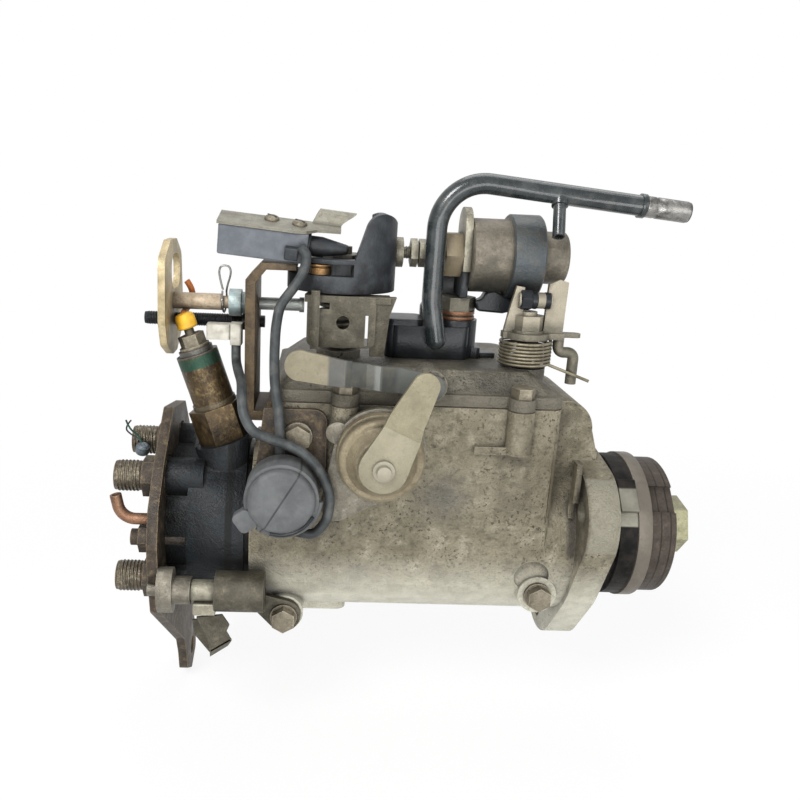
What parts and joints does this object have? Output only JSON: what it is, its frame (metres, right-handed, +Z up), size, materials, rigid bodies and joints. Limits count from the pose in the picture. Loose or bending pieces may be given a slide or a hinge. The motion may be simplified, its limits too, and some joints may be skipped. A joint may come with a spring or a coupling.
{
  "type": "diesel injection pump",
  "caption": "Rotary distributor diesel injection pump with flange, drive hub, governor cover, stop solenoid, throttle, idle and cold-start levers, damper and return pipe.",
  "frame": {"origin": "centre of the mounting flange's front face, on the drive shaft's axis", "axes": "+X along the drive shaft towards the drive hub, +Z up to the governor cover, -Y the side with the levers"},
  "size_m": [0.2483, 0.1206, 0.2518],
  "materials": {
    "cast_aluminium": "dirty, oil-stained casting",
    "dark_steel": "oily black steel",
    "steel": "dull, slightly rusty",
    "rusty_steel": "rusty brown",
    "yellow_zinc": "worn yellow zinc plate",
    "zinc": "worn zinc plate",
    "bronze": "stained brass",
    "copper": "tarnished copper",
    "gasket": "compressed fibre",
    "rubber": "matt",
    "black_plastic": "satin black",
    "grey_plastic": "satin grey",
    "white_plastic": "soiled white",
    "black_paint": "black, worn",
    "cream_paint": "cream, chipped",
    "grey_brown_metal": "stained"
  },
  "bodies": {
    "casing": {"pump_housing": "cast_aluminium", "governor_cover": "cast_aluminium", "cover_gasket": "gasket", "cover_bolts": "rusty_steel", "hydraulic_head": "dark_steel", "delivery_unions": "rusty_steel", "rear_bracket": "rusty_steel", "bracket_bolts": "rusty_steel", "stay_bolt": "steel", "stay_spacer": "zinc", "stay_sleeve": "steel", "stay_clip": "dark_steel", "housing_screws": "yellow_zinc", "stop_solenoid": "bronze", "solenoid_terminal": "zinc", "terminal_block": "white_plastic", "cable_bracket": "yellow_zinc", "cable_ferrule": "grey_brown_metal", "threaded_stud": "dark_steel", "switch_bracket": "rusty_steel", "switch_body": "grey_plastic", "switch_plate": "rusty_steel", "connector_bracket": "rusty_steel", "lead_connector": "grey_plastic", "switch_lead": "rubber", "harness_lead": "rubber", "advance_plate": "steel", "advance_cap": "grey_brown_metal", "shaft_seal": "rubber", "throttle_spring": "steel", "idle_spring": "bronze", "dashpot_body": "grey_brown_metal", "dashpot_bracket": "zinc", "banjo_block": "black_paint", "banjo_bolt": "steel", "return_pipe": "black_paint", "leak_pipe": "copper"},
    "drive": {"drive_shaft": "steel", "drive_hub": "rusty_steel", "hub_nut": "yellow_zinc", "distributor_rotor": "steel", "governor_cage": "steel"},
    "plunger_1": {"pumping_plunger_1": "steel"},
    "plunger_2": {"pumping_plunger_2": "steel"},
    "cam": {"cam_ring": "steel"},
    "advance": {"advance_piston": "steel"},
    "weight_1": {"governor_weight_1": "steel"},
    "weight_2": {"governor_weight_2": "steel"},
    "sleeve": {"thrust_sleeve": "steel"},
    "arm": {"governor_arm": "steel"},
    "metering": {"metering_valve": "steel"},
    "solenoid_core": {"solenoid_plunger": "steel"},
    "throttle": {"throttle_shaft": "steel", "throttle_bracket": "steel", "throttle_quadrant": "black_plastic"},
    "idle": {"idle_lever": "steel"},
    "cold_start": {"cold_start_lever": "zinc"},
    "stop": {"stop_lever": "cream_paint"},
    "damper": {"damper_plunger": "zinc"},
    "button": {"switch_button": "black_plastic"}
  },
  "joints": [
    {"name": "drive_spin", "type": "hinge", "parent": "casing", "child": "drive", "pos_m": [0, 0, 0], "axis": [1, 0, 0], "continuous": true},
    {"name": "plunger_1_slide", "type": "slide", "parent": "drive", "child": "plunger_1", "axis": [0, 1, 0], "range_m": [0, 0.0008]},
    {"name": "plunger_2_slide", "type": "slide", "parent": "drive", "child": "plunger_2", "axis": [0, -1, 0], "range_m": [0, 0.0008]},
    {"name": "weight_1_swing", "type": "hinge", "parent": "drive", "child": "weight_1", "pos_m": [-0.04, 0.018, 0], "axis": [0, 0, -1], "range_deg": [0, 8]},
    {"name": "weight_2_swing", "type": "hinge", "parent": "drive", "child": "weight_2", "pos_m": [-0.04, -0.018, 0], "axis": [0, 0, 1], "range_deg": [0, 8]},
    {"name": "sleeve_slide", "type": "slide", "parent": "casing", "child": "sleeve", "axis": [-1, 0, 0], "range_m": [0, 0.0022]},
    {"name": "arm_swing", "type": "hinge", "parent": "casing", "child": "arm", "pos_m": [-0.07, 0, 0.04], "axis": [0, 1, 0], "range_deg": [0, 4]},
    {"name": "metering_turn", "type": "hinge", "parent": "casing", "child": "metering", "pos_m": [-0.116, 0.014, 0.05], "axis": [0, 0, 1], "range_deg": [0, 20]},
    {"name": "cam_swing", "type": "hinge", "parent": "casing", "child": "cam", "pos_m": [-0.0955, 0, 0], "axis": [1, 0, 0], "range_deg": [-2, 2]},
    {"name": "advance_slide", "type": "slide", "parent": "casing", "child": "advance", "axis": [0, -1, 0], "range_m": [-0.00161, 0.00161]},
    {"name": "solenoid_lift", "type": "slide", "parent": "casing", "child": "solenoid_core", "axis": [-0.3256, 0, 0.9455], "range_m": [0, 0.0015]},
    {"name": "throttle_turn", "type": "hinge", "parent": "casing", "child": "throttle", "pos_m": [-0.111, -0.01, 0.1], "axis": [0, 0, 1], "range_deg": [0, 35], "deforming": ["throttle_spring"]},
    {"name": "idle_turn", "type": "hinge", "parent": "casing", "child": "idle", "pos_m": [-0.036, -0.018, 0.086], "axis": [0, 0, 1], "range_deg": [0, 20], "deforming": ["idle_spring"]},
    {"name": "cold_start_turn", "type": "hinge", "parent": "casing", "child": "cold_start", "pos_m": [-0.095, -0.066, 0.046], "axis": [0, -1, 0], "range_deg": [0, 40]},
    {"name": "stop_turn", "type": "hinge", "parent": "casing", "child": "stop", "pos_m": [-0.0765, -0.044, 0.071], "axis": [0, 1, 0], "range_deg": [0, 25]},
    {"name": "damper_slide", "type": "slide", "parent": "casing", "child": "damper", "axis": [1, 0, 0], "range_m": [0, 0.006]},
    {"name": "button_press", "type": "slide", "parent": "casing", "child": "button", "axis": [-0.9962, 0, 0.0872], "range_m": [0, 0.002]}
  ],
  "couplings": [
    {"joint": "plunger_2_slide", "follows": "plunger_1_slide", "ratio": 1},
    {"joint": "weight_2_swing", "follows": "weight_1_swing", "ratio": 1},
    {"joint": "sleeve_slide", "follows": "weight_1_swing", "m_per_rad": 0.015756},
    {"joint": "arm_swing", "follows": "weight_1_swing", "ratio": 0.5},
    {"joint": "metering_turn", "follows": "weight_1_swing", "ratio": 2.5},
    {"joint": "advance_slide", "follows": "cam_swing", "m_per_rad": 0.046}
  ]
}
